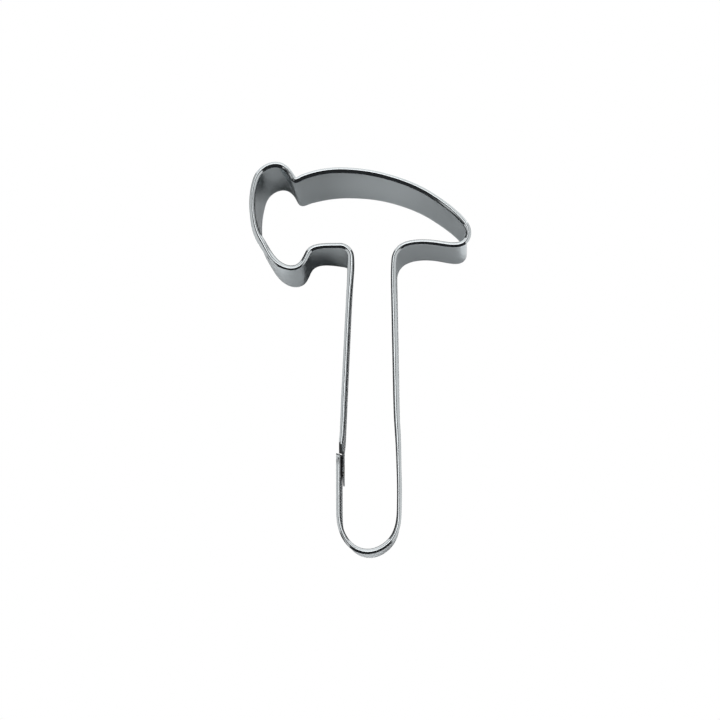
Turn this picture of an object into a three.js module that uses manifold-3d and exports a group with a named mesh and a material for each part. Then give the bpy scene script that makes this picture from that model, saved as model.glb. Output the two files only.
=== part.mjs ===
// Cookie cutter with the outline of a claw hammer, bent from one hemmed strip of steel.
// Millimetres, +Z up. It stands on its cutting edge at z = 0, with the folded rim at the top.
// X runs across the hammer's head and +Y from the handle's end to the head.

import * as THREE from 'three';
import Module from 'manifold-3d';
import { mergeVertices } from 'three/addons/utils/BufferGeometryUtils.js';

// Strip and rim
const HEIGHT = 22;          // cutting edge to the crest of the rim
const SHEET = 0.3;          // thickness of the strip
const HEM_WIDTH = 1.25;     // across the folded rim
const HEM_DEPTH = 2.6;      // how far down the folded-over flange reaches
const HEM_SLIT = 0.1;       // between the flange's free edge and the wall
const INNER_SLOPE = 37;     // degrees, from the fold's crest down to the inside ...
const OUTER_SLOPE = 31;     // ... and to the outside

// Lap on the left side of the handle, where the strip's two ends overlap
const LAP_X = -4.8;         // middle of the outer layer's sheet at the cutting edge
const LAP_END_Y = -22;      // end of the outer layer
const LAP_LEAN = 0.6;       // both layers lean in together
const TAIL_X = -4.34;       // middle of the inner layer's sheet, the tail
const TAIL_START_Y = -19.5;
const TAIL_END_Y = -26.9;
const TAIL_HEADING = 270;
const CUT_START_Y = -20;    // the tail's hem is cut away on a slope that starts here at the crest ...
const CUT_FOOT_Y = -21.9;   // ... and ends here at the foot of the flange
const CUT_MARGIN = 1;       // how far the cut runs past the hem, above it and beside it
const TAB_START_Y = -22.6;  // from here on the tail is a lower tab ...
const TAB_TOP = 14.5;
const TAB_TAPER_Y = -24.3;  // ... which tapers from here on to its end
const TAB_END_TOP = 2.5;
const EAR_REACH = 0.9;      // the outer layer's top corner is turned in over the tail as a small ear
const EAR_HEIGHT = 1.8;
const EAR_TOP = 21.3;

// Spot welds between the two layers of the lap
const WELD_DIAMETER = 2.4;
const WELD_Y = -24;
const WELD_HEIGHTS = { lower_spot_weld: 4, upper_spot_weld: 9.5 };
const WELD_CLEARANCE = 0.03;

// How finely round forms are faceted
const BEND_STEP = 8;        // degrees of bend between two stations of the strip
const WELD_SIDES = 24;
const MERGE_DISTANCE = 1e-5;

// Outline of the cutting edge, in the order of the bending, anticlockwise seen from above.
// Each knot is the middle of the sheet: [x, y, heading in degrees, how far the rim leans inwards].
const OUTLINE = [
  [LAP_X, LAP_END_Y, 270, LAP_LEAN],    // outer end of the lap
  [-4.76, -34.9, 271.5, 0.68],          // handle's round end
  [1.6, -43.1, 0, 0.05],
  [5.9, -41.2, 43, -0.2],
  [8.37, -34.5, 87, 0.08],
  [8.58, -27, 90.5, 0.28],              // right side of the handle
  [8.5, -20, 91, 0.4],
  [8.35, -14, 91, 0.7],
  [7.8, 21.2, 91, 0.78],                // right neck
  [10.05, 24.95, 26, -0.22],
  [14.5, 25.8, 0, -0.3],                // underside of the claw
  [18.9, 25.25, -12, -0.38],
  [21.4, 24.87, -1, -0.3],              // claw's tip
  [23.3, 25.45, 45, 0.35],
  [24, 27.4, 93, 0.35],
  [22.4, 30.35, 133, 0.28],
  [16.36, 35.19, 146, 0.2],             // long arch over the head
  [5.4, 39.8, 166, 0],
  [-3.5, 40.8, 179, -0.5],
  [-12.2, 39.6, 195, -0.5],
  [-14.15, 38.95, 182, -0.1],           // notch between arch and poll
  [-15.5, 40.5, 117, 0.6],
  [-18.6, 42.85, 180, 0.1],             // round poll
  [-21.9, 41.27, 228, -0.06],
  [-23.1, 38.5, 256, 0.12],
  [-23.7, 33.5, 270, 0.2],
  [-22.1, 25.9, 301, 0.85],
  [-20.38, 23.0, 303, 0.78],
  [-15.5, 19.68, 0, 0.55],               // lowest point of the poll
  [-13.4, 20.62, 52, -0.4],
  [-12, 23.35, 61, -0.68],
  [-9.5, 24.74, 6, 0.05],               // underside of the cheek
  [-4.4, 24.33, -8, 0.2],
  [-2.4, 22, -92, 1.65],                 // left neck
  [-2.53, 18.2, 268, 1.38],
  [-2.73, 14.5, 267.5, 0.9],            // left side of the handle
  [-4.11, -17.5, 267.5, 0.82],
];

// The tail goes on from the outline, straight down inside the outer layer. Its hem ends with the cut.
const TAIL_HEM = [TAIL_START_Y, CUT_FOOT_Y].map((y) => [TAIL_X, y, TAIL_HEADING, LAP_LEAN]);

const HALF_SHEET = SHEET / 2;
const FLANGE_FOOT_Z = HEIGHT - HEM_DEPTH;

// Section of the strip with its folded rim, anticlockwise: u points out of the cutter, z up.
function hemSection() {
  const inside = -HALF_SHEET;
  const outside = HEM_WIDTH - HALF_SHEET;
  const halfHem = HEM_WIDTH / 2;
  const slitTop = HEIGHT - 2 * SHEET;
  const flangeInside = HALF_SHEET + HEM_SLIT;
  return [
    new THREE.Vector2(inside, 0),
    new THREE.Vector2(HALF_SHEET, 0),
    new THREE.Vector2(HALF_SHEET, slitTop),
    new THREE.Vector2(outside - SHEET, slitTop),
    new THREE.Vector2(flangeInside, FLANGE_FOOT_Z),
    new THREE.Vector2(flangeInside + SHEET, FLANGE_FOOT_Z),
    new THREE.Vector2(outside, HEIGHT - halfHem * Math.tan(THREE.MathUtils.degToRad(OUTER_SLOPE))),
    new THREE.Vector2(inside + halfHem, HEIGHT),
    new THREE.Vector2(inside, HEIGHT - halfHem * Math.tan(THREE.MathUtils.degToRad(INNER_SLOPE))),
  ];
}

function direction(degrees) {
  const angle = THREE.MathUtils.degToRad(degrees);
  return new THREE.Vector2(Math.cos(angle), Math.sin(angle));
}

// Bezier span between two knots, with handles that follow a circular arc where the knots lie on one.
function span([x0, y0, heading0], [x1, y1, heading1]) {
  const start = new THREE.Vector2(x0, y0);
  const end = new THREE.Vector2(x1, y1);
  const turn = THREE.MathUtils.degToRad(heading1 - heading0);
  const reach = (start.distanceTo(end) * 2) / 3 / (1 + Math.cos(turn / 2));
  return new THREE.CubicBezierCurve(
    start,
    start.clone().addScaledVector(direction(heading0), reach),
    end.clone().addScaledVector(direction(heading1), -reach),
    end,
  );
}

// The same heading plus or minus whole turns, as near as possible to the one before.
function nearestTurn(heading, before) {
  return heading - 360 * Math.round((heading - before) / 360);
}

// Stations along a list of knots: place, direction and lean.
function stationsAlong(knots) {
  const stations = [];
  for (let i = 0; i + 1 < knots.length; i += 1) {
    const from = knots[i];
    const to = [...knots[i + 1]];
    to[2] = nearestTurn(to[2], from[2]);
    const curve = span(from, to);
    const steps = Math.max(1, Math.ceil(Math.abs(to[2] - from[2]) / BEND_STEP));
    for (let k = stations.length ? 1 : 0; k <= steps; k += 1) {
      const t = k / steps;
      stations.push({
        place: curve.getPoint(t),
        along: curve.getTangent(t),
        lean: THREE.MathUtils.lerp(from[3], to[3], t),
      });
    }
  }
  return stations;
}

// Sweeps a section along the stations into one closed body with flat ends.
function sweep(section, stations) {
  const positions = [];
  for (const { place, along, lean } of stations) {
    for (const { x: u, y: z } of section) {
      const out = u - (lean * z) / HEIGHT;
      positions.push(place.x + along.y * out, place.y - along.x * out, z);
    }
  }
  const count = section.length;
  const faces = [];
  for (let i = 0; i + 1 < stations.length; i += 1) {
    for (let j = 0; j < count; j += 1) {
      const a = i * count + j;
      const b = i * count + ((j + 1) % count);
      faces.push(a, a + count, b + count, a, b + count, b);
    }
  }
  const last = (stations.length - 1) * count;
  for (const [a, b, c] of THREE.ShapeUtils.triangulateShape(section, [])) {
    faces.push(a, b, c, last + a, last + c, last + b);
  }
  const geometry = new THREE.BufferGeometry();
  geometry.setAttribute('position', new THREE.Float32BufferAttribute(positions, 3));
  geometry.setIndex(faces);
  return geometry;
}

// Upright plate between two values of x, with a side profile of points [y, z].
function plate(profile, fromX, toX) {
  const shape = new THREE.Shape(profile.map(([y, z]) => new THREE.Vector2(-y, z)));
  const geometry = new THREE.ExtrudeGeometry(shape, { depth: toX - fromX, bevelEnabled: false });
  geometry.rotateX(Math.PI / 2);
  geometry.rotateZ(-Math.PI / 2);
  geometry.translate(toX, 0, 0);
  return geometry;
}

// Wedge that takes the hem off the tail: it slopes down from the crest to the foot of the flange.
function hemCutter() {
  const top = HEIGHT + CUT_MARGIN;
  const profile = [
    [CUT_START_Y, HEIGHT],
    [CUT_FOOT_Y, FLANGE_FOOT_Z],
    [(CUT_FOOT_Y + LAP_END_Y) / 2, FLANGE_FOOT_Z],
    [(CUT_FOOT_Y + LAP_END_Y) / 2, top],
    [CUT_START_Y, top],
  ];
  return plate(profile, TAIL_X - HEM_WIDTH - CUT_MARGIN, TAIL_X + LAP_LEAN + CUT_MARGIN);
}

// The tail's plain sheet: as high as the wall below the hem, then a lower tab with a tapered end.
function tailSheet() {
  const profile = [
    [TAIL_START_Y, 0],
    [TAIL_START_Y, FLANGE_FOOT_Z],
    [CUT_FOOT_Y, FLANGE_FOOT_Z],
    [TAB_START_Y, TAB_TOP],
    [TAB_TAPER_Y, TAB_TOP],
    [TAIL_END_Y, TAB_END_TOP],
    [TAIL_END_Y, 0],
  ];
  const lean = new THREE.Matrix4().makeShear(0, 0, 0, 0, LAP_LEAN / HEIGHT, 0);
  return plate(profile, TAIL_X - HALF_SHEET, TAIL_X + HALF_SHEET).applyMatrix4(lean);
}

// Ear at the top corner of the outer layer's end, over the tail's top edge.
function lapEar() {
  const geometry = new THREE.BoxGeometry(EAR_REACH, SHEET, EAR_HEIGHT);
  const root = LAP_X + (LAP_LEAN * EAR_TOP) / HEIGHT;
  geometry.translate(root + EAR_REACH / 2, LAP_END_Y - HALF_SHEET, EAR_TOP - EAR_HEIGHT / 2);
  return geometry;
}

const wasm = await Module();
wasm.setup();

function toSolid(geometry) {
  const bare = geometry.clone();
  bare.deleteAttribute('normal');
  bare.deleteAttribute('uv');
  const merged = mergeVertices(bare, MERGE_DISTANCE);
  return new wasm.Manifold(new wasm.Mesh({
    numProp: 3,
    vertProperties: new Float32Array(merged.attributes.position.array),
    triVerts: new Uint32Array(merged.index.array),
  }));
}

function toGeometry(solid) {
  const { vertProperties, triVerts } = solid.getMesh();
  const geometry = new THREE.BufferGeometry();
  geometry.setAttribute('position', new THREE.Float32BufferAttribute(vertProperties, 3));
  geometry.setIndex(Array.from(triVerts));
  geometry.computeVertexNormals();
  return geometry;
}

// The strip: hemmed all the way round, with the hem cut away where the tail slips behind the outer end.
function cutterBand() {
  const hemmed = toSolid(sweep(hemSection(), stationsAlong([...OUTLINE, ...TAIL_HEM])));
  const parts = [tailSheet(), lapEar()].map(toSolid);
  return toGeometry(wasm.Manifold.union([hemmed.subtract(toSolid(hemCutter())), ...parts]));
}

function spotWeld(height) {
  const gap = TAIL_X - LAP_X - SHEET;
  const geometry = new THREE.CylinderGeometry(
    WELD_DIAMETER / 2, WELD_DIAMETER / 2, gap - 2 * WELD_CLEARANCE, WELD_SIDES,
  );
  geometry.rotateZ(Math.PI / 2);
  const weld = new THREE.Mesh(geometry);
  const tilt = LAP_LEAN / HEIGHT;
  weld.rotation.y = Math.atan(tilt);
  weld.position.set((TAIL_X + LAP_X) / 2 + tilt * height, WELD_Y, height);
  return weld;
}

function named(mesh, name, look) {
  mesh.name = name;
  mesh.material = new THREE.MeshStandardMaterial(look);
  return mesh;
}

const POLISHED_STEEL = { color: 0xb4b8bc, metalness: 1, roughness: 0.22 };
const WELDED_STEEL = { color: 0x77797c, metalness: 1, roughness: 0.5 };

const cutter = new THREE.Group();
cutter.add(named(new THREE.Mesh(cutterBand()), 'cutter_band', POLISHED_STEEL));
for (const [name, height] of Object.entries(WELD_HEIGHTS)) {
  cutter.add(named(spotWeld(height), name, WELDED_STEEL));
}

export default cutter;
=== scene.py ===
# Looks of the cookie cutter: one strip of bright steel bent to the outline of a claw hammer, hemmed along
# its rim, with its two ends lapped and spot-welded on the left side of the handle.
# The strip is drawn in millimetres and placed in metres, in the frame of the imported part.

import math
import bmesh
import bpy
import numpy as np
from mathutils import Matrix, Vector


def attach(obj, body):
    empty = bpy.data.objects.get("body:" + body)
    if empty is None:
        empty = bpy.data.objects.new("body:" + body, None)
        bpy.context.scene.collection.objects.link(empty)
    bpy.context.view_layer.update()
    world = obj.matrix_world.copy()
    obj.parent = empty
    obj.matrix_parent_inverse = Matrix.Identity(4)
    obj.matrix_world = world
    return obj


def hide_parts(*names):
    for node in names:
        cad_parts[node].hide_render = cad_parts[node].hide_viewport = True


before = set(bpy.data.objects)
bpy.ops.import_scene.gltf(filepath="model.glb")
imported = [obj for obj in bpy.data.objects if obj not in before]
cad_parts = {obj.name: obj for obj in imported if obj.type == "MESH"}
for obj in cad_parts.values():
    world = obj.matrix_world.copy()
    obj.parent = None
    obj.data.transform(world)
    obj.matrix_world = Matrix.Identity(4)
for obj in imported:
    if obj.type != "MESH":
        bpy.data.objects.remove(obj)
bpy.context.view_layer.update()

MM = 0.001

# Strip and rim, in millimetres
HEIGHT = 22.0           # cutting edge to the crest of the rim
SHEET = 0.3             # thickness of the strip
HALF_SHEET = SHEET / 2
HEM_WIDTH = 1.25        # across the folded rim
HEM_DEPTH = 2.6         # how far down the folded-over flange reaches
HEM_SLIT = 0.1          # between the flange's free edge and the wall
INNER_SLOPE = 37        # degrees, from the fold's crest down to the inside ...
OUTER_SLOPE = 31        # ... and to the outside
CREST_RADIUS = 0.42     # of the crest itself
INNER_TURN = 0.3        # radius where the crest's slope turns down to the wall ...
OUTER_TURN = 0.1        # ... and to the flange
EDGE_ROUNDING = 0.07    # of the cut edges of the sheet
HOLLOW_SHARE = 0.45     # rounding of the fold's hollow, as a share of the slit
FOLD_SKIN = 1.5         # points less than this many sheets below the crest count as its outer skin
OUTER_FACE = 0.9        # points farther out than this share of half the sheet count as its outer face
FLANGE_FOOT = HEIGHT - HEM_DEPTH

# Lap on the left side of the handle
LAP_X = -4.8            # middle of the outer layer's sheet at the cutting edge
LAP_END_Y = -22.0       # end of the outer layer
LAP_LEAN = 0.6          # both layers lean in together
TAIL_X = -4.34          # middle of the inner layer's sheet, the tail
TAIL_END_Y = -26.9
TAIL_START_Y = -19.5
CUT_START_Y = -20.0     # the tail's hem is cut away on a slope that starts here at the crest ...
CUT_FOOT_Y = -21.9      # ... and ends here at the foot of the flange
TAB_START_Y = -22.6     # from here on the tail is a lower tab ...
TAB_TOP = 14.5
TAB_TAPER_Y = -24.3     # ... which tapers from here on to its end
TAB_END_TOP = 2.5
TAB_BEVEL = 0.08        # how much lower the tab's top edge is on its inner side
CUT_SKIN = 0.05         # sheet left over the fold's hollow along the cut
EAR_LENGTH = 0.75       # the outer layer's top corner is turned in as a small ear
EAR_TURN = 80           # degrees
EAR_TIP = 20.8          # from this height up it is turned in fully ...
EAR_FOOT = 18.5         # ... and below this one only until it touches the inner layer
EAR_TOUCH = 11          # degrees

# Spot welds through both layers of the lap
WELDS = {"lower_spot_weld": 4.0, "upper_spot_weld": 9.5}    # heights
WELD_Y = -24.0
WELD_RADIUS = 1.2
WELD_SIDES = 48
# Profile of a weld's face: share of its radius, and how far it stands out of the sheet
WELD_FACE = [(0, -0.02), (0.55, -0.02), (0.72, 0.03), (0.9, 0.05), (1, -0.01)]
WELD_WAIST = 0.92       # share of its radius half-way through
HEAT_REACH = 3.2        # radius of the straw-coloured halo round a weld
HEAT_TINT = 0.35        # its strength next to the weld
GAP_SHADE_REACH = 0.6        # how far the painted shade on the outer layer's inner face fades out past the tail's end
GAP_SHADE_FADE = 0.8         # outside, the painted shade on the tail thins out over this height below its cut hem

# How wide the hem is pressed along the strip: length from the outer end, share of its full width.
# It is narrower near the lap, on the right side of the handle's end and in the right neck, and it flares
# low on the poll's left side and in the left neck.
HEM_SHARES = [
    (0, 0.82), (14, 0.82), (22, 1), (32, 0.98), (36, 0.86), (46, 0.88), (54, 1.05), (80, 1),
    (86, 0.9), (98, 0.9), (112, 1), (163, 1), (176, 1.08), (182, 1.38), (186, 1.3), (190, 1),
    (206, 1), (211, 1.3), (215, 1.05), (219, 0.93), (240, 0.97), (246, 0.88), (250, 0.74), (254, 0.7),
]

# How far across the hem its crest lies, counted from the inside:
# length from the outer end, share of the hem's width
CREST_SHARES = [
    (0, 0.4), (18, 0.4), (25, 0.54), (31, 0.54), (38, 0.38), (92, 0.38), (98, 0.4), (108, 0.4),
    (114, 0.5), (122, 0.64), (158, 0.64), (170, 0.58), (176, 0.36), (182, 0.36), (187, 0.58),
    (194, 0.58), (198, 0.4), (206, 0.4), (214, 0.42), (254, 0.42),
]
CREST_ZONE = 1.0        # down to this depth the fold is scaled with the hem

# Marks that the pliers left on the outer layer's hem: distance from its end, half length and depth
PLIER_MARKS = [(0.4, 0.22, 0.16), (1.75, 0.55, 0.12)]
PLIER_DULL = 0.45       # how much the longer mark is dulled

# Outline of the cutting edge, in the order of the bending, anticlockwise seen from above.
# Each knot is the middle of the sheet: [x, y, heading in degrees, how far the rim leans inwards].
OUTLINE = [
    [LAP_X, LAP_END_Y, 270, LAP_LEAN],    # outer end of the lap
    [-4.76, -34.9, 271.5, 0.68],          # handle's round end
    [1.6, -43.1, 0, 0.05],
    [5.9, -41.2, 43, -0.2],
    [8.37, -34.5, 87, 0.08],
    [8.58, -27, 90.5, 0.28],              # right side of the handle
    [8.5, -20, 91, 0.4],
    [8.35, -14, 91, 0.7],
    [7.8, 21.2, 91, 0.78],                # right neck
    [10.05, 24.95, 26, -0.22],
    [14.5, 25.8, 0, -0.3],                # underside of the claw
    [18.9, 25.25, -12, -0.38],
    [21.4, 24.87, -1, -0.3],              # claw's tip
    [23.3, 25.45, 45, 0.35],
    [24, 27.4, 93, 0.35],
    [22.4, 30.35, 133, 0.28],
    [16.36, 35.19, 146, 0.2],             # long arch over the head
    [5.4, 39.8, 166, 0],
    [-3.5, 40.8, 179, -0.5],
    [-12.2, 39.6, 195, -0.5],
    [-14.15, 38.95, 182, -0.1],           # notch between arch and poll
    [-15.5, 40.5, 117, 0.6],
    [-18.6, 42.85, 180, 0.1],             # round poll
    [-21.9, 41.27, 228, -0.06],
    [-23.1, 38.5, 256, 0.12],
    [-23.7, 33.5, 270, 0.2],
    [-22.1, 25.9, 301, 0.85],
    [-20.38, 23.0, 303, 0.78],
    [-15.5, 19.68, 0, 0.55],              # lowest point of the poll
    [-13.4, 20.62, 52, -0.4],
    [-12, 23.35, 61, -0.68],
    [-9.5, 24.74, 6, 0.05],               # underside of the cheek
    [-4.4, 24.33, -8, 0.2],
    [-2.4, 22, -92, 1.65],                # left neck
    [-2.53, 18.2, 268, 1.38],
    [-2.73, 14.5, 267.5, 0.9],            # left side of the handle
    [-4.11, -17.5, 267.5, 0.82],
    [TAIL_X, TAIL_START_Y, 270, LAP_LEAN],  # tail, inside the outer layer
    [TAIL_X, TAIL_END_Y, 270, LAP_LEAN],
]

# How finely the strip is drawn
SPAN_POINTS = 400
FINE_STEP = 0.05        # millimetres, while the outline is smoothed
BEND_SMOOTHING = 0.4    # millimetres
LEAN_SMOOTHING = 3.0
STRAIGHT_STEP = 1.0     # between stations where the strip is straight ...
BEND_STEP = 2.0         # ... and degrees of bend between stations where it isn't
LAP_STEP = 0.1          # close to the strip's two ends
LAP_REACH = 7.2
ARC_STEP = 8.0          # degrees, along the roundings of the section
WALL_STEP = 1.5         # millimetres, up the wall
MERGE_DISTANCE = 1e-6   # metres
SHARP_ANGLE = 50        # degrees, from which on an edge isn't smoothed over

# Camera: a little short of straight down, from the handle's side
EYE = Vector((18.30, -79.87, 476.66)) * MM
TARGET = Vector((-0.70, 2.33, 0.0)) * MM
LENS = 105.03
SENSOR = 36.0
CLIP_START = 0.01       # metres
CLIP_END = 100.0

# Steel: linear colours, and how fine each noise is per metre along x, y and z
STEEL_DARK = (0.52, 0.55, 0.562)
STEEL_LIGHT = (0.55, 0.578, 0.588)
GLANCING_TINT = (0.91, 0.95, 0.97, 1)
HEAT_COLOUR = (0.40, 0.31, 0.20, 1)
# near-black of the shade painted into the gap between the lap's layers; it also darkens the pliers' dull
# mark
SHADE_AND_WEAR_COLOUR = (0.02, 0.02, 0.02, 1)
SMUDGE_FINENESS = (110, 110, 110)
PATCH_FINENESS = (45, 45, 60)
LINE_FINENESS = (40, 40, 2600)      # level rolling lines
PIT_FINENESS = (2500, 2500, 2500)
NOISE_DETAIL = 3.0
NOISE_LOW = 0.3                     # most of a noise's values lie between these two
NOISE_HIGH = 0.7
SMUDGE_ROUGHNESS = (0.08, 0.15)
LINE_ROUGHNESS = (0, 0.04)          # added by the rolling lines
SHADE_AND_WEAR_ROUGHNESS = 0.6                # added by the painted shade and by the pliers' dull mark
# how much of the painted shade and the pliers' wear each spot keeps, by the smudges
SHADE_AND_WEAR_COVER = (0.95, 1)
LINE_BUMP = {"Strength": 0.03, "Distance": 0.00001}

# Weld metal: colours from the middle out, as shares of the radius, and how far the pits shift them
WELD_RINGS = [
    (0, (0.42, 0.43, 0.44)),
    (0.55, (0.36, 0.37, 0.38)),
    (0.72, (0.14, 0.13, 0.14)),     # dark ring
    (0.86, (0.34, 0.26, 0.17)),     # straw-coloured ring
    (1, (0.46, 0.41, 0.34)),
]
RING_SHIFT = 0.12
WELD_ROUGHNESS = (0.35, 0.6)
PIT_BUMP = {"Strength": 0.4, "Distance": 0.00004}

# Stage, in metres
STAGE_HALF = 20.0
PAPER_LEVEL = -0.0001
TABLE_LEVEL = -0.0002
PAPER_LOOK = {
    "Base Color": (0, 0, 0, 1),
    "Specular IOR Level": 0,
    "Emission Color": (1, 1, 1, 1),
    "Emission Strength": 1.0,
}
TABLE_LOOK = {
    "Base Color": (0.7, 0.7, 0.7, 1),
    "Roughness": 0.9,
    "Specular IOR Level": 0.1,
}
ROOM_COLOUR = (0.03, 0.031, 0.033, 1)

# Panels that the steel mirrors: name, centre, what they face, width, depth, radiance
PANELS = [
    ("overhead", (-0.08, 0.62, 0.75), (-0.08, 0.62, 0), 0.46, 0.84, 1.3),
    ("near_overhead", (-0.035, 0.09, 0.75), (-0.035, 0.09, 0), 0.37, 0.22, 2.8),
    ("back_panel", (0, 1.2, 0.50), (0, 0, 0.50), 2.6, 1.0, 1.2),
    ("left_panel", (-1.0, 0.35, 0.61), (0, 0.35, 0.61), 1.3, 0.46, 0.88),
    ("left_front_panel", (-1.0, -0.62, 0.77), (0, -0.62, 0.77), 0.6, 0.28, 0.88),
    ("right_panel", (1.0, 0.1, 0.71), (0, 0.1, 0.71), 1.8, 0.6, 0.92),
]
# Lamps that the steel doesn't mirror, which light the table that it mirrors
LAMPS = [
    ("left_lamp", (-0.68, -0.15, 0.7), (0, 0, 0), 0.4, 0.3, 15),
    ("right_lamp", (0.62, -0.2, 0.75), (0, 0, 0), 0.4, 0.3, 10),
    ("back_lamp", (0, 0.7, 0.7), (0, 0, 0), 0.5, 0.3, 11),
]
STRAIGHT_DOWN = 0.99    # a light that faces down more than this counts as facing straight down


def heading_vector(degrees):
    angle = math.radians(degrees)
    return np.array([math.cos(angle), math.sin(angle)])


def bezier_span(start, end):
    """Points between two knots, on a curve that is nearly an arc where the knots lie on one."""
    first, last = np.array(start[:2]), np.array(end[:2])
    turn = (end[2] - start[2] + 180) % 360 - 180
    reach = np.linalg.norm(last - first) * 2 / 3 / (1 + math.cos(math.radians(turn) / 2))
    leave = first + reach * heading_vector(start[2])
    arrive = last - reach * heading_vector(end[2])
    t = np.linspace(0, 1, SPAN_POINTS)[:, None]
    s = 1 - t
    return s**3 * first + 3 * s**2 * t * leave + 3 * s * t**2 * arrive + t**3 * last


def along(points):
    """Length along a line of points, up to each of them."""
    steps = np.linalg.norm(np.diff(points, axis=0), axis=1)
    return np.concatenate([[0], np.cumsum(steps)])


def smoothed(values, width):
    """Bell-weighted average over evenly spaced values. Both ends stay in place."""
    reach = math.ceil(3 * width)
    weights = np.exp(-0.5 * (np.arange(-reach, reach + 1) / width) ** 2)
    before = 2 * values[0] - values[reach:0:-1]
    after = 2 * values[-1] - values[-2:-reach - 2:-1]
    padded = np.concatenate([before, values, after])
    return np.stack([np.convolve(c, weights / weights.sum(), "valid") for c in padded.T], axis=1)


class Strip:
    """Stations along the strip: length so far, place, outward direction and lean of the wall."""

    def __init__(self):
        spans = [bezier_span(a, b) for a, b in zip(OUTLINE, OUTLINE[1:])]
        knot_length = np.cumsum([0] + [along(s)[-1] for s in spans])
        points = np.concatenate([spans[0]] + [s[1:] for s in spans[1:]])
        length = along(points)
        fine = np.linspace(0, length[-1], round(length[-1] / FINE_STEP) + 1)
        place = np.stack([np.interp(fine, length, points[:, k]) for k in range(2)], axis=1)
        lean = np.interp(fine, knot_length, [knot[3] for knot in OUTLINE])[:, None]
        place = smoothed(place, BEND_SMOOTHING / FINE_STEP)
        lean = smoothed(lean, LEAN_SMOOTHING / FINE_STEP)[:, 0]
        ahead = np.gradient(place, axis=0)
        heading = np.unwrap(np.arctan2(ahead[:, 1], ahead[:, 0]))
        picked = self.pick(fine, heading)
        turn = np.interp(picked, fine, heading)
        self.length = picked
        self.place = np.stack([np.interp(picked, fine, place[:, k]) for k in range(2)], axis=1)
        self.outward = np.stack([np.sin(turn), -np.cos(turn)], axis=1)
        self.lean = np.interp(picked, fine, lean)

    def pick(self, fine, heading):
        """Lengths of the stations: closer together in bends and near the strip's ends."""
        bend = np.abs(np.gradient(heading, fine))
        density = 1 / STRAIGHT_STEP + np.degrees(bend) / BEND_STEP
        near_end = np.minimum(fine, fine[-1] - fine) < LAP_REACH
        density = np.maximum(density, near_end / LAP_STEP)
        effort = np.concatenate([[0], np.cumsum((density[1:] + density[:-1]) / 2 * np.diff(fine))])
        return np.interp(np.linspace(0, effort[-1], math.ceil(effort[-1]) + 1), effort, fine)


def rounded(corners):
    """Closed line of points round corners [u, z, rounding], with long straight stretches divided up."""
    line = []
    for k, (u, z, radius) in enumerate(corners):
        corner = np.array([u, z])
        back = np.array(corners[k - 1][:2]) - corner
        on = np.array(corners[(k + 1) % len(corners)][:2]) - corner
        back /= np.linalg.norm(back)
        on /= np.linalg.norm(on)
        half = math.acos(np.clip(back @ on, -1, 1)) / 2
        middle = corner + (back + on) / np.linalg.norm(back + on) * radius / math.sin(half)
        first = corner + back * radius / math.tan(half) - middle
        last = corner + on * radius / math.tan(half) - middle
        sweep = math.pi - 2 * half
        steps = max(1, math.ceil(math.degrees(sweep) / ARC_STEP))
        for t in np.arange(steps + 1) / steps:
            arc = math.sin((1 - t) * sweep) * first + math.sin(t * sweep) * last
            line.append(middle + arc / math.sin(sweep))
    divided = []
    for a, b in zip(line, line[1:] + line[:1]):
        pieces = max(1, math.ceil(np.linalg.norm(b - a) / WALL_STEP))
        divided += [a + (b - a) * k / pieces for k in range(pieces)]
    return np.array(divided)


def hem_section():
    """Section of the strip with its folded rim, anticlockwise: u points out of the cutter, z up."""
    inside, outside = -HALF_SHEET, HEM_WIDTH - HALF_SHEET
    middle = (inside + outside) / 2
    inner, outer = math.radians(INNER_SLOPE), math.radians(OUTER_SLOPE)
    peak = HEIGHT + CREST_RADIUS * ((math.sin(inner) + math.sin(outer)) / math.sin(inner + outer) - 1)
    slit_top = HEIGHT - 2 * SHEET
    flange = HALF_SHEET + HEM_SLIT
    hollow = HEM_SLIT * HOLLOW_SHARE
    return rounded([
        [inside, 0, EDGE_ROUNDING],
        [HALF_SHEET, 0, EDGE_ROUNDING],
        [HALF_SHEET, slit_top, hollow],
        [outside - SHEET, slit_top, hollow],
        [flange, FLANGE_FOOT, EDGE_ROUNDING],
        [flange + SHEET, FLANGE_FOOT, EDGE_ROUNDING],
        [outside, peak - HEM_WIDTH / 2 * math.tan(outer), OUTER_TURN],
        [middle, peak, CREST_RADIUS],
        [inside, peak - HEM_WIDTH / 2 * math.tan(inner), INNER_TURN],
    ])


def press_hem(strip, u, z):
    """Sets the hem's width along the strip, and where on it the crest lies."""
    share = np.interp(strip.length, *zip(*HEM_SHARES))[:, None]
    crest = np.interp(strip.length, *zip(*CREST_SHARES))[:, None]
    across = u + HALF_SHEET - HEM_WIDTH / 2
    scale = 2 * share * np.where(across < 0, crest, 1 - crest)
    fold_u = HEM_WIDTH * share * crest - HALF_SHEET + across * scale
    fold_z = HEIGHT + (z - HEIGHT) * scale
    narrowing = (HEM_WIDTH * share - SHEET) / (HEM_WIDTH - SHEET)
    wall_u = np.where(u > HALF_SHEET, HALF_SHEET + (u - HALF_SHEET) * narrowing, u)
    in_fold = z > HEIGHT - CREST_ZONE
    return np.where(in_fold, fold_u, wall_u), np.where(in_fold, fold_z, z)


def cut_tab(strip, u, z):
    """Cuts the strip's inner end down to a plain tab with a bevelled top edge."""
    y = (TAIL_END_Y + strip.length[-1] - strip.length)[:, None]
    top = np.interp(-y, [-CUT_START_Y, -CUT_FOOT_Y, -TAB_START_Y, -TAB_TAPER_Y, -TAIL_END_Y],
                    [HEIGHT, FLANGE_FOOT, TAB_TOP, TAB_TOP, TAB_END_TOP])
    u = np.where(top < FLANGE_FOOT + CUT_SKIN, np.minimum(u, HALF_SHEET), u)
    bevel = np.interp(u, [-HALF_SHEET, HALF_SHEET], [TAB_BEVEL, 0]) * (y < CUT_FOOT_Y)
    skin = np.where(z > HEIGHT - FOLD_SKIN * SHEET, 0, CUT_SKIN)
    return u, np.minimum(z, top - bevel - skin * (y < CUT_START_Y))


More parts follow.
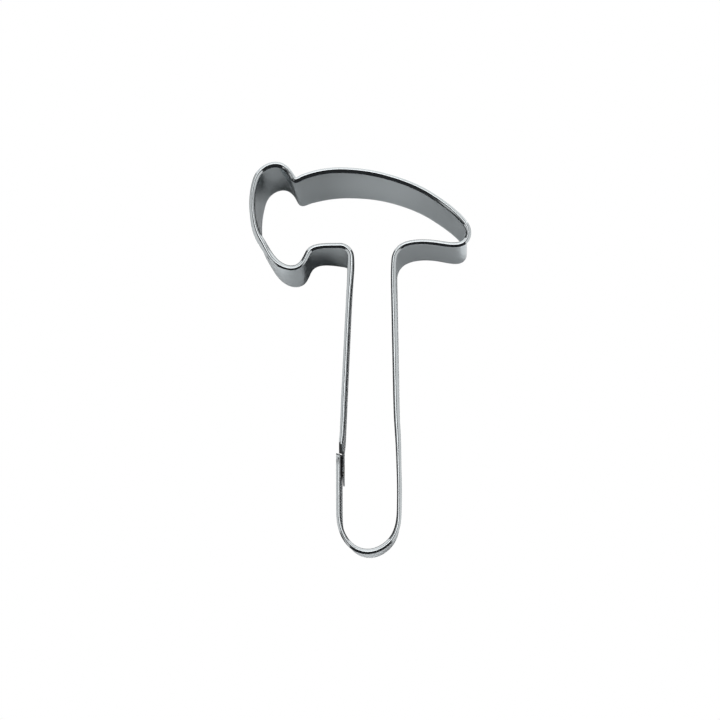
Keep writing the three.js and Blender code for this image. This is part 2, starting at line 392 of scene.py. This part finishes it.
def turn_in_ear(strip, u, z):
    """How far the ear's bend moves each point outwards and along the strip."""
    flap = np.maximum(EAR_LENGTH - strip.length, 0)[:, None]
    heights = [0, EAR_FOOT / 2, EAR_FOOT, EAR_TIP]
    turn = np.radians(np.interp(z, heights, [0, EAR_TOUCH, EAR_TOUCH, EAR_TURN]))
    inner = np.interp(u, [HALF_SHEET, HEM_WIDTH / 2], [1, 0])
    return -flap * np.sin(turn) * inner, flap * (1 - np.cos(turn)) * inner


def press_marks(strip, u, z):
    """Presses the pliers' marks into the hem near the strip's outer end."""
    on_hem = np.clip((z - FLANGE_FOOT) / HEM_DEPTH, 0, 1)
    for at, half, depth in PLIER_MARKS:
        z = z - depth * np.exp(-((strip.length - at) / half) ** 2)[:, None] * on_hem
    return u, z


def gap_shade_and_plier_wear(strip, u, z):
    """How far each point is darkened: painted shade in the gap between the lap's two layers, and a dull
    mark by the pliers on the hem.
    """
    from_tail = (strip.length[-1] - strip.length)[:, None]
    length = strip.length[:, None]
    under_tail = LAP_END_Y - TAIL_END_Y
    # painted shade on the outer layer's inner face, where the tail lies against it
    outer_layer = (u < 0) * np.interp(length, [under_tail, under_tail + GAP_SHADE_REACH], [1, 0])
    covered = from_tail < under_tail
    # painted shade on the tail's outer face, under the outer layer and below its cut hem
    outside = (u > HALF_SHEET * OUTER_FACE) & (z < HEIGHT - CUT_SKIN)
    on_tail = (from_tail < TAIL_START_Y - TAIL_END_Y) & outside
    fade = np.interp(z, [FLANGE_FOOT - GAP_SHADE_FADE, FLANGE_FOOT], [0, 1])
    tail = on_tail * np.where(covered, 1, fade)
    at, half, _ = PLIER_MARKS[1]
    dent = PLIER_DULL * np.exp(-((length - at) / half) ** 2) * (z > FLANGE_FOOT)
    return np.maximum(np.maximum(outer_layer, tail), dent).ravel()


def strip_points(strip, section):
    """Places of the section's points at every station with the lap's details, and how much painted shade
    and pliers' wear each gets.
    """
    stations = len(strip.length)
    u = np.tile(section[:, 0], (stations, 1))
    z = np.tile(section[:, 1], (stations, 1))
    for detail in (press_hem, cut_tab, press_marks):
        u, z = detail(strip, u, z)
    move_out, move_on = turn_in_ear(strip, u, z)
    out = u - strip.lean[:, None] * z / HEIGHT + move_out
    x = strip.place[:, :1] + strip.outward[:, :1] * out - strip.outward[:, 1:] * move_on
    y = strip.place[:, 1:] + strip.outward[:, 1:] * out + strip.outward[:, :1] * move_on
    return np.stack([x, y, z], axis=2).reshape(-1, 3), gap_shade_and_plier_wear(strip, u, z)


def swept_faces(stations, count):
    """Four-cornered faces along a swept closed section, and its two flat ends."""
    faces = []
    for i in range(stations - 1):
        for j in range(count):
            a = i * count + j
            b = i * count + (j + 1) % count
            faces.append((a, a + count, b + count, b))
    faces.append(tuple(range(count)))
    faces.append(tuple(reversed(range((stations - 1) * count, stations * count))))
    return faces


def merge(mesh):
    """Joins points that fall together where the tab is cut, and drops the faces that vanish there."""
    work = bmesh.new()
    work.from_mesh(mesh)
    bmesh.ops.remove_doubles(work, verts=work.verts, dist=MERGE_DISTANCE)
    bmesh.ops.dissolve_degenerate(work, edges=work.edges, dist=MERGE_DISTANCE)
    work.to_mesh(mesh)
    work.free()


def make_piece(name, points, faces, shade, material):
    """New piece on the part's one body.

    shade is the name and the values of what its material reads at each point.
    """
    mesh = bpy.data.meshes.new(name)
    mesh.from_pydata((np.asarray(points) * MM).tolist(), [], faces)
    attribute_name, values = shade
    mesh.attributes.new(attribute_name, "FLOAT", "POINT").data.foreach_set("value", values)
    merge(mesh)
    piece = bpy.data.objects.new(name, mesh)
    bpy.context.scene.collection.objects.link(piece)
    mesh.materials.append(material)
    mesh.shade_smooth()
    mesh.set_sharp_from_angle(angle=math.radians(SHARP_ANGLE))
    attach(piece, "root")
    return piece


def weld_middle(height):
    """Middle of a weld, between the two layers."""
    return np.array([(LAP_X + TAIL_X) / 2 + LAP_LEAN * height / HEIGHT, WELD_Y, height])


def make_weld(name, height, material):
    """Weld through both layers, turned round its axis, with the electrodes' shallow marks on both faces."""
    face = (TAIL_X - LAP_X + SHEET) / 2
    side = [(radius, face + proud) for radius, proud in WELD_FACE]
    profile = side + [(WELD_WAIST, 0)] + [(radius, -along_axis) for radius, along_axis in reversed(side)]
    middle = weld_middle(height)
    tilt = math.atan(LAP_LEAN / HEIGHT)
    axis = np.array([math.cos(tilt), 0, -math.sin(tilt)])
    up = np.array([math.sin(tilt), 0, math.cos(tilt)])
    points = []
    for turn in np.arange(WELD_SIDES) * 2 * math.pi / WELD_SIDES:
        spoke = math.cos(turn) * np.array([0, 1, 0]) + math.sin(turn) * up
        points += [middle + axis * a + spoke * WELD_RADIUS * radius for radius, a in profile]
    count = len(profile)
    faces = []
    for i in range(WELD_SIDES):
        for j in range(count - 1):
            a, b = i * count + j, (i + 1) % WELD_SIDES * count + j
            faces.append((a, b, b + 1, a + 1))
    radii = [radius for radius, _ in profile] * WELD_SIDES
    weld = make_piece(name + "_mark", points, faces, ("radius", radii), material)
    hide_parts(name)


def add_node(tree, kind, inputs, **settings):
    """New shader node. Each input is a fixed value, or a socket that is linked to it."""
    node = tree.nodes.new("ShaderNode" + kind)
    for name, value in settings.items():
        setattr(node, name, value)
    for name, value in inputs.items():
        if isinstance(value, bpy.types.NodeSocket):
            tree.links.new(value, node.inputs[name])
        else:
            node.inputs[name].default_value = value
    return node


def noise(tree, per_metre):
    """Noise in the piece's own space, with its own fineness along each axis."""
    place = add_node(tree, "TexCoord", {}).outputs["Object"]
    fine = add_node(tree, "VectorMath", {0: place, 1: per_metre}, operation="MULTIPLY").outputs["Vector"]
    return add_node(tree, "TexNoise", {"Vector": fine, "Scale": 1.0, "Detail": NOISE_DETAIL}).outputs["Fac"]


def ramp(tree, value, stops):
    """Colours along a value: a list of (value, colour)."""
    node = add_node(tree, "ValToRGB", {"Fac": value})
    elements = node.color_ramp.elements
    while len(elements) < len(stops):
        elements.new(1)
    for element, (at, colour) in zip(elements, stops):
        element.position = at
        element.color = (*colour, 1)
    return node.outputs["Color"]


def spread(tree, value, low, high, to_low, to_high):
    """Carries a value from one range over to another."""
    ends = {"Value": value, "From Min": low, "From Max": high, "To Min": to_low, "To Max": to_high}
    return add_node(tree, "MapRange", ends).outputs["Result"]


def vary(tree, noise_value, ends):
    """Carries most of a noise's range over to the range between two ends."""
    return spread(tree, noise_value, NOISE_LOW, NOISE_HIGH, *ends)


def calculate(tree, operation, *values):
    return add_node(tree, "Math", dict(enumerate(values)), operation=operation).outputs["Value"]


def blend(tree, share, first, second):
    """Mixture of two colours."""
    node = add_node(tree, "Mix", {0: share, 6: first, 7: second}, data_type="RGBA")
    return node.outputs[2]


def plain_material(name, look):
    """Material with one shader, and that shader's values by name."""
    material = bpy.data.materials.new(name)
    material.use_nodes = True
    shader = material.node_tree.nodes["Principled BSDF"]
    for key, value in look.items():
        shader.inputs[key].default_value = value
    return material


def metal(name):
    """Material with a bare metal shader, its node tree and the shader's inputs."""
    look = {"Metallic": 1.0, "Specular Tint": GLANCING_TINT, "Specular IOR Level": 0.0}
    material = plain_material(name, look)
    tree = material.node_tree
    return material, tree, tree.nodes["Principled BSDF"].inputs


def attribute(tree, name):
    return add_node(tree, "Attribute", {}, attribute_name=name).outputs["Fac"]


def distance(tree, place, point):
    return add_node(tree, "VectorMath", {0: place, 1: point}, operation="DISTANCE").outputs["Value"]


def steel_material():
    """Bright cold-rolled strip: rolling lines, faint smudges, painted shade in the lap's gap and the
    pliers' dull mark, a halo round the welds.
    """
    material, tree, shader = metal("polished_steel")
    smudges = noise(tree, SMUDGE_FINENESS)
    patches = noise(tree, PATCH_FINENESS)
    lines = noise(tree, LINE_FINENESS)
    cover = vary(tree, smudges, SHADE_AND_WEAR_COVER)
    # shade painted into the gap between the lap's layers, and the pliers' dull mark, thinned a little by
    # the smudges
    painted_shade_and_wear = calculate(tree, "MULTIPLY", attribute(tree, "gap_shade_and_plier_wear"), cover)
    place = add_node(tree, "TexCoord", {}).outputs["Object"]
    middles = [(weld_middle(height) * MM).tolist() for height in WELDS.values()]
    nearest = calculate(tree, "MINIMUM", *[distance(tree, place, middle) for middle in middles])
    heat = spread(tree, nearest, WELD_RADIUS * MM, HEAT_REACH * MM, HEAT_TINT, 0)
    bright = ramp(tree, patches, [(NOISE_LOW, STEEL_DARK), (NOISE_HIGH, STEEL_LIGHT)])
    tinted = blend(tree, heat, bright, HEAT_COLOUR)
    # the painted shade turns the lap's gap near-black and not metallic
    tree.links.new(blend(tree, painted_shade_and_wear, tinted, SHADE_AND_WEAR_COLOUR), shader["Base Color"])
    tree.links.new(calculate(tree, "SUBTRACT", 1.0, painted_shade_and_wear), shader["Metallic"])
    smudged = vary(tree, smudges, SMUDGE_ROUGHNESS)
    finish = calculate(tree, "ADD", smudged, vary(tree, lines, LINE_ROUGHNESS))
    tree.links.new(calculate(tree, "MULTIPLY_ADD", painted_shade_and_wear, SHADE_AND_WEAR_ROUGHNESS, finish), shader["Roughness"])
    bump = add_node(tree, "Bump", {"Height": lines, **LINE_BUMP})
    tree.links.new(bump.outputs["Normal"], shader["Normal"])
    return material


def weld_material():
    """Weld metal: dull grey in the electrode's mark, with a dark and a straw-coloured ring round it."""
    material, tree, shader = metal("welded_steel")
    pits = noise(tree, PIT_FINENESS)
    shift = spread(tree, pits, 0, 1, -0.5, 0.5)
    ring = calculate(tree, "MULTIPLY_ADD", shift, RING_SHIFT, attribute(tree, "radius"))
    tree.links.new(ramp(tree, ring, WELD_RINGS), shader["Base Color"])
    tree.links.new(vary(tree, pits, WELD_ROUGHNESS), shader["Roughness"])
    bump = add_node(tree, "Bump", {"Height": pits, **PIT_BUMP})
    tree.links.new(bump.outputs["Normal"], shader["Normal"])
    return material


def stage_plane(name, height, material):
    mesh = bpy.data.meshes.new(name)
    half = STAGE_HALF
    corners = [(-half, -half, height), (half, -half, height), (half, half, height), (-half, half, height)]
    mesh.from_pydata(corners, [], [(0, 1, 2, 3)])
    mesh.materials.append(material)
    plane = bpy.data.objects.new(name, mesh)
    bpy.context.scene.collection.objects.link(plane)
    return plane


def make_floor():
    """White paper that only the camera sees, and the pale table that the steel mirrors."""
    paper = stage_plane("paper", PAPER_LEVEL, plain_material("white_paper", PAPER_LOOK))
    paper.visible_glossy = False
    paper.visible_diffuse = False
    paper.visible_shadow = False
    table = stage_plane("table", TABLE_LEVEL, plain_material("pale_table", TABLE_LOOK))
    table.visible_camera = False


def softbox(name, centre, aim, width, depth, radiance, mirrored):
    """Rectangular soft light that faces aim. Its width lies level."""
    light = bpy.data.lights.new(name, "AREA")
    light.shape = "RECTANGLE"
    light.size = width
    light.size_y = depth
    light.energy = radiance * math.pi * width * depth
    lamp = bpy.data.objects.new(name, light)
    back = (Vector(centre) - Vector(aim)).normalized()
    if abs(back.z) > STRAIGHT_DOWN:
        right = Vector((1, 0, 0))
    else:
        right = Vector((-back.y, back.x, 0)).normalized()
    turn = Matrix((right, back.cross(right), back)).transposed()
    lamp.matrix_world = Matrix.Translation(centre) @ turn.to_4x4()
    lamp.visible_glossy = mirrored
    bpy.context.scene.collection.objects.link(lamp)


def make_light():
    for panel in PANELS:
        softbox(*panel, mirrored=True)
    for lamp in LAMPS:
        softbox(*lamp, mirrored=False)
    world = bpy.data.worlds.new("dim_room")
    bpy.context.scene.world = world
    world.use_nodes = True
    world.node_tree.nodes["Background"].inputs["Color"].default_value = ROOM_COLOUR


def make_camera():
    back = (EYE - TARGET).normalized()
    right = Vector((0, 1, 0)).cross(back).normalized()
    turn = Matrix((right, back.cross(right), back)).transposed()
    data = bpy.data.cameras.new("camera")
    data.lens = LENS
    data.sensor_width = SENSOR
    data.clip_start = CLIP_START
    data.clip_end = CLIP_END
    camera = bpy.data.objects.new("camera", data)
    camera.matrix_world = Matrix.Translation(EYE) @ turn.to_4x4()
    bpy.context.scene.collection.objects.link(camera)
    bpy.context.scene.camera = camera


make_camera()
make_light()
make_floor()
bpy.context.scene.view_settings.view_transform = "Standard"

strip = Strip()
section = hem_section()
# points, and how much painted shade and pliers' wear each one gets
points, painted_shade_and_wear = strip_points(strip, section)
faces = swept_faces(len(strip.length), len(section))
band = make_piece("cutter_strip", points, faces, ("gap_shade_and_plier_wear", painted_shade_and_wear), steel_material())
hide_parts("cutter_band")
weld_metal = weld_material()
for name, height in WELDS.items():
    make_weld(name, height, weld_metal)
